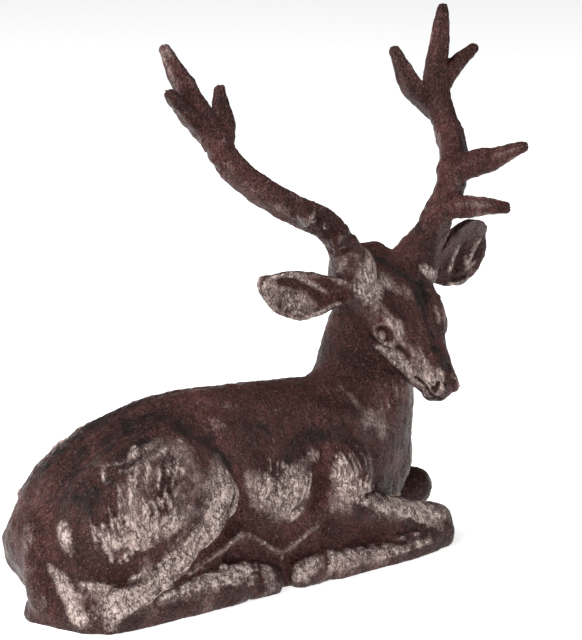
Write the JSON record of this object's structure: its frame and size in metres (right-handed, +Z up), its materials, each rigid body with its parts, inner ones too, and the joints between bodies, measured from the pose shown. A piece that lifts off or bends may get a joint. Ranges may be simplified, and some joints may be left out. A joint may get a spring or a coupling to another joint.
{
  "type": "lying stag statue",
  "caption": "Cast iron stag lying down with folded legs, its antlered head turned over its right shoulder, flat underneath.",
  "frame": {"origin": "in the flat underside, on the ground, at the middle of the body", "axes": "+X from the rump to the chest, +Y to the stag's left, +Z up"},
  "size_m": [0.339, 0.1313, 0.2735],
  "materials": {
    "cast_iron": "rough cast, dark red brown patina with rubbed pale highlights"
  },
  "bodies": {
    "root": {"stag": "cast_iron"}
  },
  "joints": []
}
